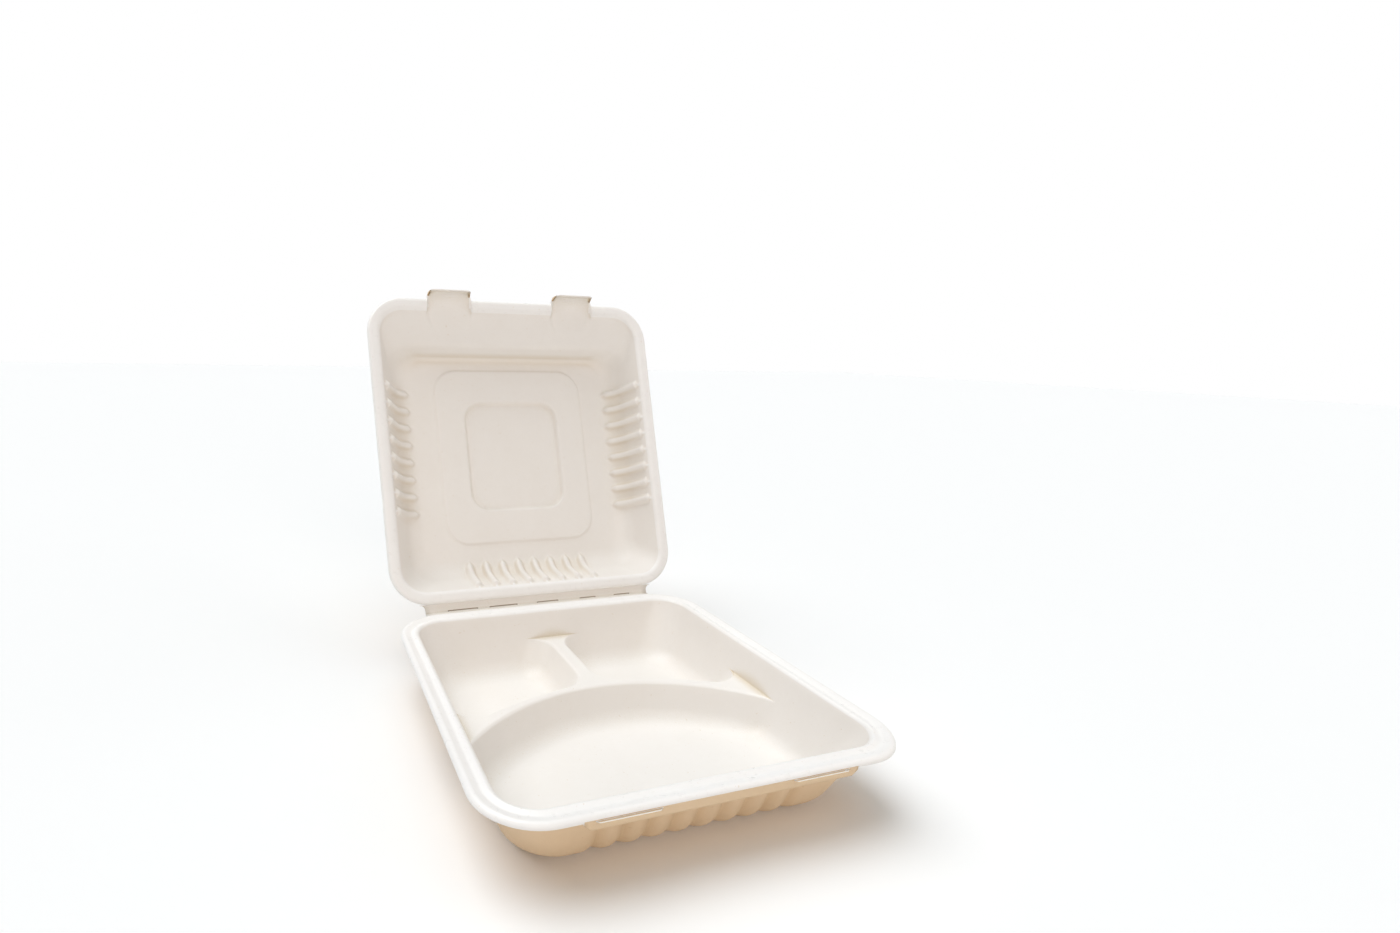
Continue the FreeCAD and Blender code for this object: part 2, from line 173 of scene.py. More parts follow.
def straight(start, end, count):
    return [(start[0] + (end[0] - start[0]) * k / count, start[1] + (end[1] - start[1]) * k / count)
            for k in range(count)]


def bend(centre, radius, start, end, count):
    """Arc from one angle to the other, in degrees."""
    angles = [math.radians(start + (end - start) * k / count) for k in range(count)]
    return [(centre[0] + radius * math.cos(a), centre[1] + radius * math.sin(a)) for a in angles]


def swelling(distance, sharpness=0.12):
    """How far a fluted wall lies inside its outermost line, from 0 to 1; valleys are narrow."""
    wave = math.sqrt(math.cos(math.pi * distance / flute_pitch) ** 2 + sharpness ** 2)
    return 1 - wave / math.sqrt(1 + sharpness ** 2)


def fluted(start, end, depth, steps=10):
    """Side along X with valleys pressed in; both plain ends take five points."""
    length = end[0] - start[0]
    row = flute_pitch * flute_count
    plain = (length - row) / 2
    stops = [plain * k / 5 for k in range(5)]
    stops += [plain + row * k / (steps * flute_count) for k in range(steps * flute_count)]
    stops += [plain + row + plain * k / 5 for k in range(5)]
    points = []
    for s in stops:
        inward = depth * swelling((s - plain) % flute_pitch) if 0 < s - plain < row else 0
        points.append((start[0] + s, start[1] + inward))
    return points


def ribbed(start, end, height, tilt, shift=0.0):
    """Side with narrow ribs that stand off it by height, tilted up from the horizontal.

    The row is squeezed on a short side, and its middle lies past the side's by shift.
    """
    length = math.dist(start, end)
    along = ((end[0] - start[0]) / length, (end[1] - start[1]) / length)
    squeeze = min(1.0, 0.92 * length / (rib_pitch * rib_count))
    stops = [(0.0, 0.0)]
    for k in range(rib_count):
        centre = length / 2 + squeeze * (shift + rib_pitch * (k - (rib_count - 1) / 2))
        for step in range(-rib_steps, rib_steps + 1):
            past = step / rib_steps * 1.15 * rib_half
            width = rib_half * max(height / rib_height, 0.25)
            bump = height * (1 - smooth_step(abs(past), 0.12 * width, width))
            stops.append((centre + squeeze * past, bump))
        stops.append((centre + squeeze * rib_pitch / 2, 0.0))
    points = []
    for s, bump in stops:
        inward = bump * math.cos(tilt)
        points.append((start[0] + along[0] * s - along[1] * inward,
                       start[1] + along[1] * s + along[0] * inward, bump * math.sin(tilt)))
    return points


class Wall:
    """The inside of a tray's leaning wall, with a rounded foot.

    lean is in degrees, inset is that of the level top, foot is the radius above the floor, and
    corner is the plan radius of the tray's outer edge.
    """

    def __init__(self, lean, inset, top, foot, floor, corner):
        self.lean, self.inset, self.top = math.radians(lean), inset, top
        self.foot, self.floor, self.corner = foot, floor, corner
        self.foot_z = floor + foot
        self.foot_inset = self.plain(self.foot_z) + foot / math.cos(self.lean)

    def plain(self, z):
        """Inset at a level, as if the wall had no rounding."""
        return self.inset + (self.top - z) * math.tan(self.lean)

    def at(self, z):
        """Inset at a level."""
        if z >= self.foot_z - self.foot * math.sin(self.lean):
            return self.plain(z)
        return self.foot_inset - math.sqrt(max(self.foot ** 2 - (self.foot_z - z) ** 2, 0))

    def foot_levels(self, count):
        """Levels down the rounded foot, evenly turned."""
        turn = math.pi / 2 - self.lean
        return [self.foot_z - self.foot * math.cos(turn * (1 - k / count)) for k in range(count + 1)]

    def corner_at(self, z):
        """Plan radius of the wall's corners at a level."""
        return self.corner - self.inset + corner_growth * (self.top - z) - (self.at(z) - self.plain(z))


class Flank(Wall):
    """A divider's flank, with a rounded head as well."""

    def at(self, z):
        head_z = self.top - divider_head
        if z > head_z + divider_head * math.sin(self.lean):
            centre = self.plain(head_z) - divider_head / math.cos(self.lean)
            return centre + math.sqrt(max(divider_head ** 2 - (z - head_z) ** 2, 0))
        return super().at(z)

    def head_levels(self, count):
        """Levels down the rounded head, evenly turned."""
        turn = math.pi / 2 - self.lean
        return [self.top - divider_head * (1 - math.cos(turn * k / count)) for k in range(count + 1)]


base_wall = Wall(lean=15.0, inset=12.7, top=41.0, foot=14.0, floor=base_sheet, corner=base_corner)
flank = Flank(lean=divider_lean, inset=0.0, top=divider_top, foot=divider_foot, floor=base_sheet,
              corner=0.0)
lid_wall = Wall(lean=25.0, inset=9.9, top=-3.9, foot=19.0, floor=-30.1, corner=lid_corner)


def eased(points, steps):
    """Smooth line through the points, steps spans between each two of them."""
    line = []
    for k in range(len(points) - 1):
        p0, p1, p2, p3 = (Vector(points[min(max(k + d, 0), len(points) - 1)]) for d in (-1, 0, 1, 2))
        for s in range(steps):
            t = s / steps
            line.append(0.5 * (2 * p1 + (p2 - p0) * t + (2 * p0 - 5 * p1 + 4 * p2 - p3) * t ** 2
                               + (3 * p1 - p0 - 3 * p2 + p3) * t ** 3))
    line.append(Vector(points[-1]))
    return [tuple(p) for p in line]


# the lid's far wall: (level, inset), downwards
far_profile = eased([(-3.0, 9.4), (-3.9, 9.9), (-7.0, 15.2), (-11.0, 22.5), (-14.2, 28.2),
                     (-16.5, 30.6), (-22.0, 32.3), (-27.5, 33.8), (-29.3, 34.8), (-30.0, 36.6),
                     (-30.1, 38.2)], 4)


def far_wall(z):
    """Inset of the lid's far wall, which is gentle at first and steep above its floor."""
    for (above, inset), (below, next_inset) in zip(far_profile, far_profile[1:]):
        if z >= below:
            return inset + (next_inset - inset) * (above - z) / (above - below)
    return far_profile[-1][1]


# ---- meshes ----

def band(mesh, lower, upper, closed=True):
    """Quads between two rows of vertices."""
    count = len(lower)
    for k in range(count if closed else count - 1):
        corners = [lower[k], lower[(k + 1) % count], upper[(k + 1) % count], upper[k]]
        if len(set(corners)) == 4:
            mesh.faces.new(corners)


def stack(mesh, loops, closed=True):
    """Rows of vertices from loops of 3-D points, joined by bands."""
    rows = [[mesh.verts.new(p) for p in loop] for loop in loops]
    for lower, upper in zip(rows, rows[1:]):
        band(mesh, lower, upper, closed)
    return rows


def close_flat(mesh, row, margin):
    """A flat floor over a row, with a narrow border so that its shading stays flat."""
    face = mesh.faces.new(row)
    bmesh.ops.inset_region(mesh, faces=[face], thickness=margin, use_even_offset=True)


def finished(name, mesh, thickness, finishes, edge=0):
    """Object from a skin: welded, thickened away from its shown side and shaded smooth.

    The finishes go in pairs, for the shown side and the other one; a face's material index is the
    first of its pair, and a cut edge takes the finish that comes edge places after it.
    """
    bmesh.ops.remove_doubles(mesh, verts=mesh.verts, dist=weld_distance)
    bmesh.ops.dissolve_degenerate(mesh, edges=mesh.edges, dist=1e-4)
    for face in mesh.faces:
        face.smooth = True
    bmesh.ops.scale(mesh, verts=mesh.verts, vec=(MM, MM, MM))
    data = bpy.data.meshes.new(name)
    mesh.to_mesh(data)
    mesh.free()
    skin = bpy.data.objects.new(name, data)
    bpy.context.scene.collection.objects.link(skin)
    solid = skin.modifiers.new("sheet", "SOLIDIFY")
    solid.thickness = thickness * MM
    solid.offset = -1
    solid.use_even_offset = False
    solid.material_offset = 1
    solid.material_offset_rim = edge
    for finish in finishes:
        data.materials.append(finish)
    depsgraph = bpy.context.evaluated_depsgraph_get()
    skin.data = bpy.data.meshes.new_from_object(skin.evaluated_get(depsgraph))
    skin.modifiers.clear()
    skin.data.name = name
    return skin


# ---- base ----

def base_fluting(z):
    """Depth of the flutes at a level."""
    return flute_depth * smooth_step(z, *flute_run)


def flare_on_wall(arch, flare, grow, half_x, side):
    """Centre of the plan fillet between an arch and a side wall; side is 1 behind it, -1 in front."""
    radius, apex = arch
    x = half_x - flare
    reach = radius + side * (grow + flare)
    return x, apex - radius + math.sqrt(reach ** 2 - x ** 2)


mouth_x = half_width - base_wall.at(divider_top)
mouth_grow = flank.at(divider_top)
front_join = flare_on_wall(front_arch, front_flare - mouth_grow, mouth_grow, mouth_x, -1)[1]
back_join = flare_on_wall(back_arch, side_flare - mouth_grow, mouth_grow, mouth_x, 1)[1]
stem_join = stem_half + stem_flare


def base_loop(half_x, half_y, radius, depth):
    """Whole tray outline, with points where the dividers meet the walls."""
    x, y = half_x - radius, half_y - radius
    right = (straight((half_x, -y), (half_x, front_join), 10)
             + straight((half_x, front_join), (half_x, back_join), 8)
             + straight((half_x, back_join), (half_x, y), 6))
    back = (straight((x, half_y), (stem_join, half_y), 8)
            + straight((stem_join, half_y), (-stem_join, half_y), 10)
            + straight((-stem_join, half_y), (-x, half_y), 8))
    left = (straight((-half_x, y), (-half_x, back_join), 6)
            + straight((-half_x, back_join), (-half_x, front_join), 8)
            + straight((-half_x, front_join), (-half_x, -y), 10))
    return (fluted((-x, -half_y), (x, -half_y), depth)
            + bend((x, -y), radius, -90, 0, 16) + right + bend((x, y), radius, 0, 90, 16) + back
            + bend((-x, y), radius, 90, 180, 16) + left + bend((-x, -y), radius, 180, 270, 16))


def front_loop(half_x, half_y, grow, radius, extra, z, depth):
    """Large compartment at a level; its corners at the arch are rounder at the top.

    grow is how far the flanks have come out, and extra what their rounding adds to that.
    """
    flare = front_flare - extra - tighten * (divider_top - z)
    centre_x, centre_y = flare_on_wall(front_arch, flare, grow, half_x, -1)
    arch_radius, apex = front_arch
    turn = math.degrees(math.atan2(centre_y - apex + arch_radius, centre_x))
    x, y = half_x - radius, half_y - radius
    return (fluted((-x, -half_y), (x, -half_y), depth)
            + bend((x, -y), radius, -90, 0, 16) + straight((half_x, -y), (half_x, centre_y), 10)
            + bend((centre_x, centre_y), flare, 0, turn, 14)
            + bend((0, apex - arch_radius), arch_radius - grow, turn, 180 - turn, 60)
            + bend((-centre_x, centre_y), flare, 180 - turn, 180, 14)
            + straight((-half_x, centre_y), (-half_x, -y), 10) + bend((-x, -y), radius, 180, 270, 16))


def back_loop(half_x, half_y, grow, radius, extra):
    """Small compartment on the right, with the same grow and extra."""
    arch_radius, apex = back_arch
    centre_y = apex - arch_radius
    flare = side_flare - extra
    wall_x, wall_y = flare_on_wall(back_arch, flare, grow, half_x, 1)
    wall_turn = math.degrees(math.atan2(wall_y - centre_y, wall_x))
    stem_x = stem_half + grow
    inner = arch_flare - extra
    inner_x = stem_x + inner
    inner_y = centre_y + math.sqrt((arch_radius + grow + inner) ** 2 - inner_x ** 2)
    inner_turn = math.degrees(math.atan2(inner_y - centre_y, inner_x))
    rear = stem_flare - extra
    x, y = half_x - radius, half_y - radius
    return (bend((0, centre_y), arch_radius + grow, inner_turn, wall_turn, 24)
            + bend((wall_x, wall_y), flare, wall_turn - 180, 0, 16)
            + straight((half_x, wall_y), (half_x, y), 6) + bend((x, y), radius, 0, 90, 16)
            + straight((x, half_y), (stem_x + rear, half_y), 8)
            + bend((stem_x + rear, half_y - rear), rear, 90, 180, 14)
            + straight((stem_x, half_y - rear), (stem_x, inner_y), 6)
            + bend((inner_x, inner_y), inner, 180, inner_turn + 180, 14))


def pocket_loops(which):
    """Loops of a compartment, from its mouth down to its floor."""
    loops = []
    for z in flank.head_levels(6) + [20.0, 16.0, 12.0] + flank.foot_levels(8):
        grow = flank.at(z)
        place = (half_width - base_wall.at(z), half_length - base_wall.at(z), grow,
                 base_wall.corner_at(z), grow - flank.plain(z))
        loop = front_loop(*place, z, base_fluting(z)) if which == "front" else back_loop(*place)
        loops.append([(x, y, z) for x, y in loop])
    if which == "left":
        loops = [[(-x, y, z) for x, y, z in loop[::-1]] for loop in loops]
    return loops


def to_wall(x, y):
    """Distance from the tray's side and back walls, at the dividers' top."""
    wall = base_wall.at(divider_top)
    radius = base_wall.corner_at(divider_top)
    from_side, from_back = half_width - wall - abs(x), half_length - wall - y
    if max(from_side, from_back) < radius:
        return radius - math.hypot(radius - from_side, radius - from_back)
    return min(from_side, from_back)


def bordered(loop):
    """The mouth's outline moved a little onto the divider, which keeps its top shaded flat."""
    border = []
    for k, (x, y, z) in enumerate(loop):
        before, after = loop[k - 1], loop[(k + 1) % len(loop)]
        step = Vector((after[0] - before[0], after[1] - before[1])).normalized()
        move = plate_border * smooth_step(to_wall(x, y), 0.05, 3.0) if y > front_join else 0.0
        border.append((x + step.y * move, y - step.x * move, z))
    return border


def make_tray():
    """The base: rim and wall down to the dividers' top, a plate there, and three pockets in it."""
    mesh = bmesh.new()
    loops = []
    for inset, drop in eased(base_rim, 3):
        plan = base_loop(half_width - inset, half_length - inset, base_corner - inset, 0.0)
        loops.append([(x, y, base_height - drop) for x, y in plan])
    for z in [41.0, 40.0, 38.5, 37.0, 35.0, 33.0, 31.0, 29.0, 27.0, divider_top]:
        inset = base_wall.at(z)
        plan = base_loop(half_width - inset, half_length - inset, base_wall.corner_at(z),
                         base_fluting(z))
        loops.append([(x, y, z) for x, y in plan])
    stack(mesh, loops)
    for which in ("front", "right", "left"):
        loops = pocket_loops(which)
        rows = stack(mesh, [bordered(loops[0])] + loops)
        close_flat(mesh, rows[-1], 0.8)
    bmesh.ops.remove_doubles(mesh, verts=mesh.verts, dist=weld_distance)
    plate_edges = [edge for edge in mesh.edges if edge.is_boundary
                   and all(abs(v.co.z - divider_top) < weld_distance for v in edge.verts)]
    for edge in plate_edges:
        edge.smooth = not all(to_wall(*v.co.xy) < weld_distance for v in edge.verts)
    plate = bmesh.ops.contextual_create(mesh, geom=plate_edges)["faces"]
    bmesh.ops.triangulate(mesh, faces=plate, ngon_method="BEAUTY")
    for face in mesh.faces:
        # rim faces take the lighter colour of the painted highlight
        face.material_index = 2 if face.calc_center_median().z > base_height - rim_highlight_depth else 0
    return finished("tray", mesh, base_sheet, (smooth_face, wire_side_painted_shade, rim_painted_highlight, wire_side_painted_shade))


def make_apron():
    """Plate under the front lip, with two slots; below each one a belt of it stands out a little."""
    mesh = bmesh.new()
    slot_low, slot_high = slot_levels
    columns = [-apron_half, apron_bevel - apron_half, -20, 0, 20, apron_half - apron_bevel, apron_half]
    columns += [side * (tongue_centre + share * slot_half)
                for side in (-1, 1) for share in (-1, -0.9, -0.5, 0, 0.5, 0.9, 1)]
    loops = []
    for z in [apron_foot, 39.2, 40.6, 41.5, slot_low, slot_high, 43.0]:
        row = []
        for x in sorted(columns):
            low = apron_foot + max(abs(x) - apron_half + apron_bevel, 0)
            belt = smooth_step(abs(abs(x) - tongue_centre), slot_half, slot_half * 0.9)
            proud = belt_proud * belt * smooth_step(z, slot_high, slot_low) * smooth_step(z, 39.0, 41.6)
            row.append((x, -half_length - proud, max(z, low)))
        loops.append(row)
    stack(mesh, loops, closed=False)
    centres = [(face, face.calc_center_median()) for face in mesh.faces]
    slots = [face for face, centre in centres if slot_low <= centre.z <= slot_high
             and abs(abs(centre.x) - tongue_centre) < slot_half]
    bmesh.ops.delete(mesh, geom=slots, context="FACES")
    # the apron's faces take the wire side's darker tan, which is painted shade; its cut edges the
    # smooth face
    return finished("apron", mesh, base_sheet, (wire_side_painted_shade, wire_side_painted_shade, smooth_face), edge=2)


# ---- lid: laid out flat and open upwards, rim crest at 0, hinge side at -Y ----

def lid_ribbing(z):
    """Height of the ribs at a level, and how far the wall's face is tilted up there."""
    tilt = math.asin(min(max((lid_wall.foot_z - z) / lid_wall.foot, math.sin(lid_wall.lean)), 1.0))
    round_foot = (tilt - lid_wall.lean) / (math.radians(rib_end_tilt) - lid_wall.lean)
    return rib_height * smooth_step(z, *rib_run) * (1 - smooth_step(round_foot, 0.7, 1.0)), tilt


def spaced(start, end, steps):
    """Values from start on, steps of them, without the end."""
    return [start + (end - start) * k / steps for k in range(steps)]


tongue_zone = (tongue_centre - tongue_reach, tongue_centre + tongue_reach)
half_marks = spaced(0, tongue_zone[0], 6) + spaced(*tongue_zone, 48) + [tongue_zone[1]]
far_marks = [-x for x in half_marks[:0:-1]] + half_marks


def far_side(half_x, half_y, radius):
    """Far side of the lid from right to left, with close points where the tongues are."""
    reach = half_x - radius
    scale = min(1.0, 0.97 * reach / tongue_zone[1])
    marks = [reach, (reach + tongue_zone[1] * scale) / 2] + [x * scale for x in far_marks[::-1]]
    marks.append(-(reach + tongue_zone[1] * scale) / 2)
    return [(x, half_y) for x in marks]


def lid_loop(half_x, half_y, radius, z, far=0.0, rib=0.0, tilt=0.0):
    """Outline of the lid at a level; its far side lies in by far, with tighter corners.

    The side rows of ribs keep their places although the far side moves.
    """
    x, y = half_x - radius, half_y - radius
    far_radius = radius - far / 4
    far_x, far_y = half_x - far_radius, half_y - far - far_radius
    shift = rib_shift + (y - far_y) / 2
    plain = (bend((far_x, far_y), far_radius, 0, 90, 16) + far_side(half_x, half_y - far, far_radius)
             + bend((-far_x, far_y), far_radius, 90, 180, 16))
    loop = (ribbed((-x, -half_y), (x, -half_y), rib, tilt)
            + [(*p, 0) for p in bend((x, -y), radius, -90, 0, 16)]
            + ribbed((half_x, -y), (half_x, far_y), rib, tilt, shift)
            + [(*p, 0) for p in plain]
            + ribbed((-half_x, far_y), (-half_x, -y), rib, tilt, -shift)
            + [(*p, 0) for p in bend((-x, -y), radius, 180, 270, 16)])
    return [(px, py, z + lift) for px, py, lift in loop]


def tongue_share(x, height, wider=0.0):
    """1 on a tongue or its pocket at a height, 0 beside it; wider is added to the half width."""
    half = tongue_half - tongue_taper * smooth_step(height, -7, tongue_root) + wider
    return smooth_step(abs(abs(x) - tongue_centre), half + 0.8, half - 0.4)


def tongue_top(x):
    """Share of the tongue's height at x: its tip has round corners."""
    past = abs(abs(x) - tongue_centre) - tongue_half + tongue_round
    if past <= 0:
        return 1.0
    return 1 - (tongue_round - math.sqrt(max(tongue_round ** 2 - past ** 2, 0))) / tongue_tip[1]


def with_tongues(loop, out, height):
    """The loop with its far side drawn to a tongue's place at a height, where there is one."""
    drawn = []
    for x, y, z in loop:
        if y > half_length - tongue_reach and abs(x) < tongue_zone[1]:
            tall = height * tongue_top(x) if height > 0 else height
            y += (half_length + out - y) * tongue_share(x, height, tongue_splay)
            z += (tall - z) * tongue_share(x, height)
        drawn.append((x, y, z))
    return drawn


def lid_shape():
    """What lid_loop takes at each level, inwards from the edge, and how many are in the pockets."""
    shape = [(half_width - inset, half_length - inset, lid_corner - inset, -drop)
             for inset, drop in eased(lid_rim, 3)]
    pocket_levels = [-3.9, -4.5, -5.0, -5.5, -6.0, -6.5, -7.0, -7.6, -8.2, -8.8, tongue_root]
    pocket_rows = len(shape) + len(pocket_levels)
    for z in pocket_levels + [-10.8, -12.2, -13.8, -15.4, -16.8, -18.0] + lid_wall.foot_levels(18):
        inset = lid_wall.at(z)
        shape.append((half_width - inset, half_length - inset, lid_wall.corner_at(z), z,
                      far_wall(z) - inset, *lid_ribbing(z)))
    for grow, share in field_edge:
        shape.append((field_half[0] + grow, field_half[1] + grow, field_corner + grow,
                      lid_wall.floor + field_rise * share))
    for grow, share in window_edge:
        shape.append((window_half[0] + grow, window_half[1] + grow, window_corner + grow,
                      lid_wall.floor + field_rise - window_depth * share))
    return shape, pocket_rows


def make_lid():
    """The lid, turned about the hinge to where it stands open."""
    shape, pocket_rows = lid_shape()
    root = (-far_wall(tongue_root), tongue_root)
    path = eased([tongue_tip, tongue_bend, root], pocket_rows // 2 + 1)
    loops = [lid_loop(*place) for place in shape]
    for k in range(pocket_rows):
        loops[k] = with_tongues(loops[k], *path[k * (len(path) - 1) // (pocket_rows - 1)])
    mesh = bmesh.new()
    rows = stack(mesh, loops)
    close_flat(mesh, rows[-1], 1.0)
    for face in mesh.faces:
        centre = face.calc_center_median()
        on_tongue = centre.y > 0 and tongue_share(centre.x, 0) > 0.1
        # rim faces, but not the tongues, take the lighter colour of the painted highlight
        face.material_index = 2 if centre.z > -rim_highlight_depth and not on_tongue else 0
    place = Matrix.Translation((0, hinge_point.y + crease_reach + half_length, base_height))
    about = Matrix.Translation(hinge_point)
    turn = Matrix.Rotation(math.radians(90 - lid_lean), 4, "X")
    bmesh.ops.transform(mesh, matrix=about @ turn @ about.inverted() @ place, verts=mesh.verts)
    return finished("lid_shell", mesh, lid_sheet, (smooth_face, wire_side_painted_shade, rim_painted_highlight, wire_side_painted_shade))


# ---- strip ----

def strip_section():
    """The strip's (y, z) points from lip to lip, and the three of them that a slit lies in."""
    lean = math.radians(90 - lid_lean)
    base_edge = (half_length - 0.4, base_height - strip_drop)
    crease = (half_length + 6.2, base_height - strip_drop)
    lid_edge = (hinge_point.y + crease_reach * math.cos(lean) + strip_drop * math.sin(lean),
                hinge_point.z + crease_reach * math.sin(lean) - strip_drop * math.cos(lean))
    from_base = eased([base_edge, (half_length + 2.0, base_height - 2.45), crease], 5)
    from_crease = eased([crease, (crease[0] + 1.5, crease[1] + 2.6), lid_edge], 5)
    slit_places = [(crease[0] + slit_way[0] * rise, crease[1] + slit_way[1] * rise)
                   for rise in (slit_rise, slit_rise + slit_flank, slit_rise + 2 * slit_flank)]
    rest = [place for place in from_crease[1:] if place[1] > slit_places[-1][1] + 0.1]
    return from_base + slit_places + rest, slit_places


def make_strip():
    """Creased strip from one lip to the other, with a row of slits above its crease: grooves whose
    faces are painted dark as shade.
    """
    section, slit_places = strip_section()
    columns = [-strip_half_width, -strip_plain_half]
    for middle, half in slits:
        columns += [middle + half * share for share in (-1, -0.92, 0, 0.92, 1)]
    columns += [strip_plain_half, strip_half_width]
    loops = []
    for y, z in section:
        gone = min(math.dist((y, z), section[0]), math.dist((y, z), section[-1]))
        short = max(strip_fillet - gone, 0)
        wider = 1 + (strip_fillet - math.sqrt(strip_fillet ** 2 - short ** 2)) / strip_half_width
        loops.append([(x * (wider if abs(x) >= strip_plain_half else 1), y, z) for x in columns])
    groove = loops[section.index(slit_places[1])]
    for k, (x, y, z) in enumerate(groove):
        if any(abs(x - middle) < half * 0.95 for middle, half in slits):
            groove[k] = (x, y + slit_way[1] * slit_depth, z - slit_way[0] * slit_depth)
    mesh = bmesh.new()
    stack(mesh, loops, closed=False)
    for face in mesh.faces:
        centre = face.calc_center_median()
        inside = any(abs(centre.x - middle) < half for middle, half in slits)
        slit = inside and slit_places[0][1] < centre.z < slit_places[2][1]
        # the slits' groove faces carry the dark painted shade
        face.material_index = 2 if slit else 0
    return finished("hinge_strip", mesh, strip_sheet, (smooth_face, wire_side_painted_shade, slit_painted_shade, slit_painted_shade))


# ---- finishes ----

class Shade:
    """A socket in a node tree; arithmetic on it adds Math nodes."""

    def __init__(self, nodes, socket):
        self.nodes, self.socket = nodes, socket

    def math(self, operation, first, second=0.0):
        return self.nodes.node("ShaderNodeMath", {"operation": operation}, {0: first, 1: second})

    def __add__(self, other):
        return self.math("ADD", self, other)

    def __radd__(self, other):
        return self.math("ADD", other, self)

    def __sub__(self, other):
        return self.math("SUBTRACT", self, other)

    def __rsub__(self, other):
        return self.math("SUBTRACT", other, self)

    def __mul__(self, other):
        return self.math("MULTIPLY", self, other)

    def __rmul__(self, other):
        return self.math("MULTIPLY", other, self)

    def above(self, level, span):
        """0 below the level and 1 a span above it."""
        return self.math("MINIMUM", self.math("MAXIMUM", (self - level) * (1 / span), 0.0), 1.0)


class Nodes:
    """A node tree, and the one way in which nodes are added to it."""

    def __init__(self, tree):
        self.tree = tree

    def put(self, socket, value):
        if isinstance(value, Shade):
            self.tree.links.new(value.socket, socket)
        else:
            socket.default_value = value

    def node(self, kind, settings, values, output=0):
        node = self.tree.nodes.new(kind)
        for name, value in settings.items():
            setattr(node, name, value)
        for name, value in values.items():
            self.put(node.inputs[name], value)
        return Shade(self, node.outputs[output])

    def seen(self):
        """1 for rays from the camera, off a shiny face or through a clear one, otherwise 0."""
        rays = [self.node("ShaderNodeLightPath", {}, {}, kind)
                for kind in ("Is Camera Ray", "Is Glossy Ray", "Is Transmission Ray")]
        return rays[0] + rays[1] + rays[2]


class Finish(Nodes):
    """A material of its own, with its nodes."""

    def __init__(self, name):
        self.material = bpy.data.materials.new(name)
        self.material.use_nodes = True
        super().__init__(self.material.node_tree)
        self.shader = self.tree.nodes["Principled BSDF"]

    def noise(self, place, scale, detail=2.0, roughness=0.5):
        return self.node("ShaderNodeTexNoise", {}, {"Vector": place, "Scale": scale, "Detail": detail,
                                                    "Roughness": roughness})

    def strands(self, place, turn, length, width):
        """Short fibres that lie one way, turned by an angle: 0 to 1."""
        laid = self.node("ShaderNodeMapping", {}, {
            "Vector": place, "Rotation": (0.3 * turn, 0.2, turn),
            "Scale": (1 / length, 1 / width, 1 / width)})
        return self.noise(laid, 1.0, 1.0)

    def mix(self, share, first, second):
        return self.node("ShaderNodeMix", {"data_type": "RGBA"}, {0: share, 6: first, 7: second}, 2)


def tinted(colour, tint):
    """Colour with alpha, each part multiplied by its tint."""
    return (*(part * share for part, share in zip(colour, tint)), 1)


def pulp(name, colour, shade, roughness, grain, pile, crease_shade_from):
    """Pressed plant fibre: cloudy where the pulp is thicker, with short crossing fibres.

    The colour goes from shade to colour with the clouds; grain is the depth of the fibres in
    metres, and pile is how rough the face feels. Creases get painted shade, darker and browner
    where an ambient occlusion node finds the face closed in by itself; the last argument is how
    closed a crease is where that painted shade starts, from 0 to 1.
    """
    finish = Finish(name)
    place = finish.node("ShaderNodeTexCoord", {}, {}, "Object")
    clouds = finish.noise(place, 38.0, 3.0)
    flocks = finish.noise(place, 260.0, 3.0, 0.6)
    fibres = finish.strands(place, 0.4, 0.0045, 0.00035)
    for turn, length, width in ((2.1, 0.0035, 0.0003), (-0.9, 0.004, 0.0003)):
        fibres = fibres.math("MAXIMUM", fibres, finish.strands(place, turn, length, width))
    felt = finish.noise(place, 1500.0, 2.0)
    fleck = finish.noise(place, 620.0, 1.0).above(0.74, 0.05)
    open_sky = finish.node("ShaderNodeAmbientOcclusion", {"samples": 8, "only_local": True},
                           {"Distance": crease_shade_reach}, "AO")

    thick = 0.5 + (clouds - 0.5) * 1.3 + (flocks - 0.5) * 0.8 + (fibres - 0.55) * 0.5
    tone = finish.mix(thick, (*shade, 1), (*colour, 1))
    # painted shade: creases, where the face is closed in by itself, go darker and browner
    tone = finish.mix((1 - open_sky).above(crease_shade_from, 0.25), tone, tinted(shade, painted_crease_shade_tint))
    tone = finish.mix(fleck * 0.5, tone, tinted(shade, speck_tint))
    finish.put(finish.shader.inputs["Base Color"], tone)
    finish.put(finish.shader.inputs["Roughness"],
               roughness + (flocks - 0.5) * 0.16 + (fibres - 0.55) * 0.12)
    relief = fibres * 0.5 + felt * pile + flocks * 0.6
    bump = finish.node("ShaderNodeBump", {}, {"Strength": 1.0, "Distance": grain, "Height": relief},
                       "Normal")
    finish.put(finish.shader.inputs["Normal"], bump)
    return finish.material


# the shown face was pressed on a smooth mould, and the other one lay on its wire mesh; that side's
# rougher finish is real, its darker tan colour painted shade
smooth_face = pulp("pressed_fibre", colour=(0.885, 0.850, 0.812), shade=(0.862, 0.822, 0.776),
                   roughness=0.40, grain=0.00006, pile=0.3, crease_shade_from=0.14)
# the rims: lighter colour is a painted highlight, their lower roughness real gloss
rim_painted_highlight = pulp("painted_highlight_rim", colour=(0.935, 0.915, 0.895), shade=(0.905, 0.880, 0.855),
                roughness=0.30, grain=0.00004, pile=0.2, crease_shade_from=0.3)
# the wire side: real rough finish, with a darker tan colour that is painted shade
wire_side_painted_shade = pulp("raw_fibre_painted_shade", colour=(0.780, 0.595, 0.400), shade=(0.740, 0.555, 0.360),
                 roughness=0.68, grain=0.00014, pile=0.7, crease_shade_from=0.08)
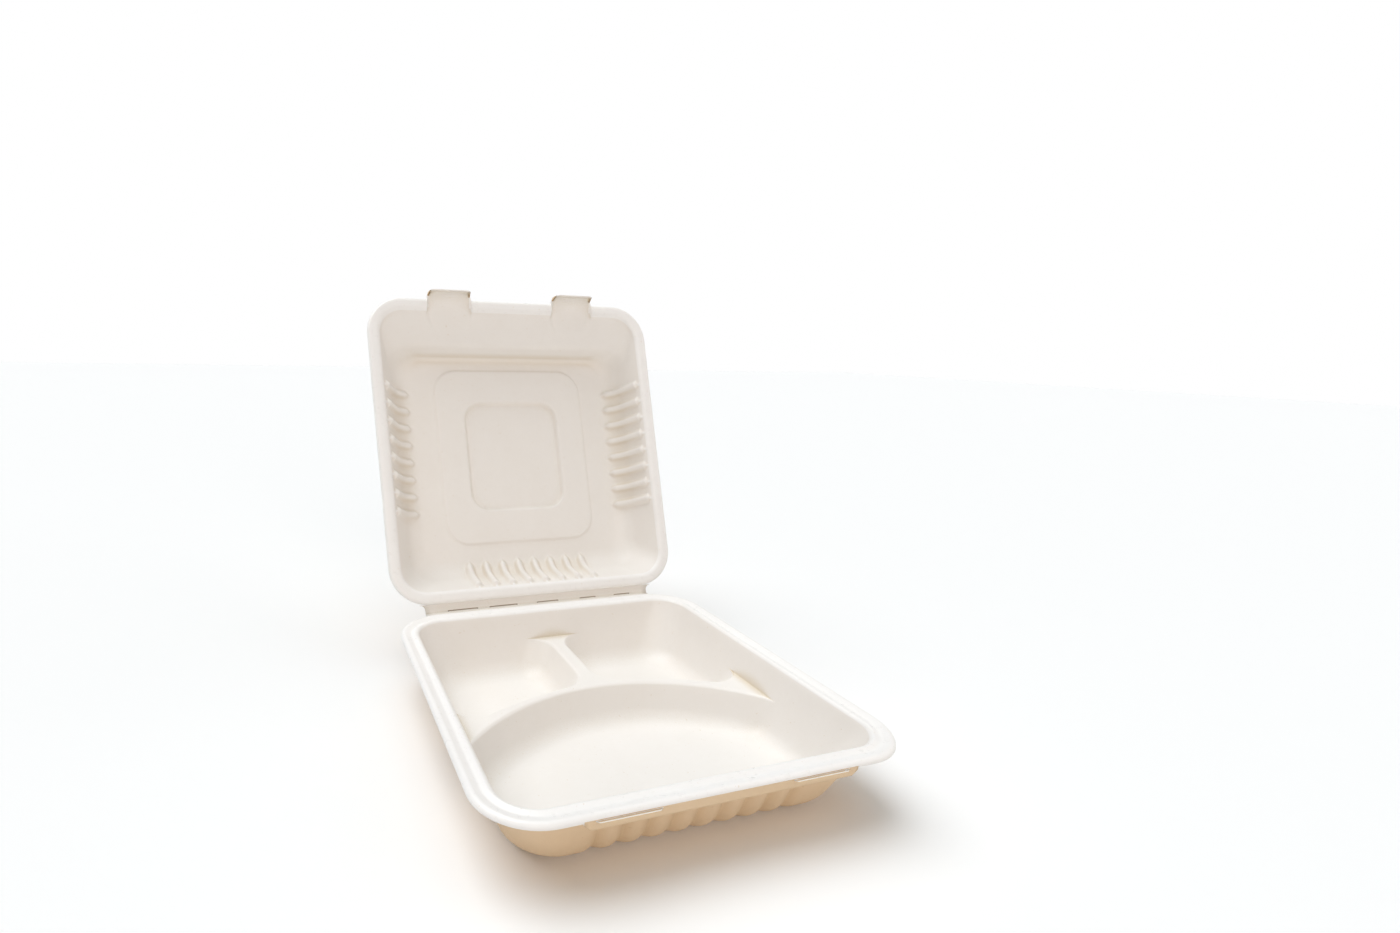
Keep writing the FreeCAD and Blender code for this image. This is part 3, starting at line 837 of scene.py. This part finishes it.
# the slits' dark brown is painted shade, not the colour of cut fibre
slit_painted_shade = pulp("painted_shade_slits", colour=(0.34, 0.26, 0.19), shade=(0.28, 0.21, 0.15),
                roughness=0.85, grain=0.00008, pile=0.8, crease_shade_from=0.5)


# ---- pieces ----

tray = make_tray()
apron = make_apron()
lid_shell = make_lid()
strip = make_strip()
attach(tray, "base")
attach(apron, "base")
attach(lid_shell, "lid")
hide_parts("base")
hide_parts("lid")
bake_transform(strip)


# ---- floor, light and camera ----

def make_floor():
    """Pale ground, which is white for the camera and still takes a shadow."""
    mesh = bmesh.new()
    bmesh.ops.create_grid(mesh, x_segments=1, y_segments=1, size=6.0)
    data = bpy.data.meshes.new("floor")
    mesh.to_mesh(data)
    mesh.free()
    floor = bpy.data.objects.new("floor", data)
    bpy.context.scene.collection.objects.link(floor)
    pale = Finish("pale_floor")
    pale.put(pale.shader.inputs["Base Color"], (0.9, 0.9, 0.9, 1))
    pale.put(pale.shader.inputs["Roughness"], 1.0)
    lit = Shade(pale, pale.shader.outputs[0])
    white = pale.node("ShaderNodeBsdfDiffuse", {}, {"Color": (1.0, 1.0, 1.0, 1)})
    shown = pale.node("ShaderNodeMixShader", {}, {0: pale.seen(), 1: lit, 2: white})
    pale.put(pale.tree.nodes["Material Output"].inputs["Surface"], shown)
    data.materials.append(pale.material)


def sun_light(name, place, angle, power, colour):
    """Soft light from the direction of a place, aimed at the origin."""
    light = bpy.data.lights.new(name, "SUN")
    light.angle = math.radians(angle)
    light.energy = power
    light.color = colour
    lamp = bpy.data.objects.new(name, light)
    bpy.context.scene.collection.objects.link(lamp)
    lamp.location = place
    lamp.rotation_euler = (-Vector(place)).to_track_quat("-Z", "Y").to_euler()


def make_camera():
    """Close wide view from the front left, a little above the rims."""
    data = bpy.data.cameras.new("camera")
    data.lens = 17.07
    data.sensor_width = 36.0
    data.shift_x = 0.1416
    data.shift_y = 0.0755
    data.clip_start = 0.01
    camera = bpy.data.objects.new("camera", data)
    bpy.context.scene.collection.objects.link(camera)
    yaw, pitch, roll = (math.radians(turn) for turn in (18.16, 19.05, 1.40))
    heading = Matrix.Rotation(-yaw, 4, "Z") @ Matrix.Rotation(math.pi / 2 - pitch, 4, "X")
    camera.matrix_world = (Matrix.Translation((-0.1770, -0.3185, 0.2299)) @ heading
                           @ Matrix.Rotation(roll, 4, "Z"))
    bpy.context.scene.camera = camera


def make_world():
    """Faint light from all round, with a white backdrop for the camera and for reflections."""
    world = bpy.data.worlds.new("studio")
    bpy.context.scene.world = world
    world.use_nodes = True
    sky = Nodes(world.node_tree)
    background = sky.tree.nodes["Background"]
    sky.put(background.inputs["Color"], (1.0, 1.0, 1.0, 1))
    sky.put(background.inputs["Strength"], 0.02)
    faint = Shade(sky, background.outputs[0])
    white = sky.node("ShaderNodeBackground", {}, {"Color": (1.0, 1.0, 1.0, 1)})
    shown = sky.node("ShaderNodeMixShader", {}, {0: sky.seen(), 1: faint, 2: white})
    sky.put(sky.tree.nodes["World Output"].inputs["Surface"], shown)


make_floor()
make_world()
sun_light("key", (-0.42, 0.28, 1.0), angle=50, power=1.9, colour=(0.99, 0.99, 1.0))
sun_light("overhead", (0.0, 0.0, 1.0), angle=60, power=0.85, colour=(0.82, 0.95, 1.0))
sun_light("front", (-0.2, -1.0, 0.35), angle=55, power=1.12, colour=(1.0, 0.90, 0.82))
sun_light("right", (1.0, -0.3, 0.6), angle=60, power=0.5, colour=(1.0, 0.88, 0.80))
make_camera()
bpy.context.scene.view_settings.view_transform = "Standard"
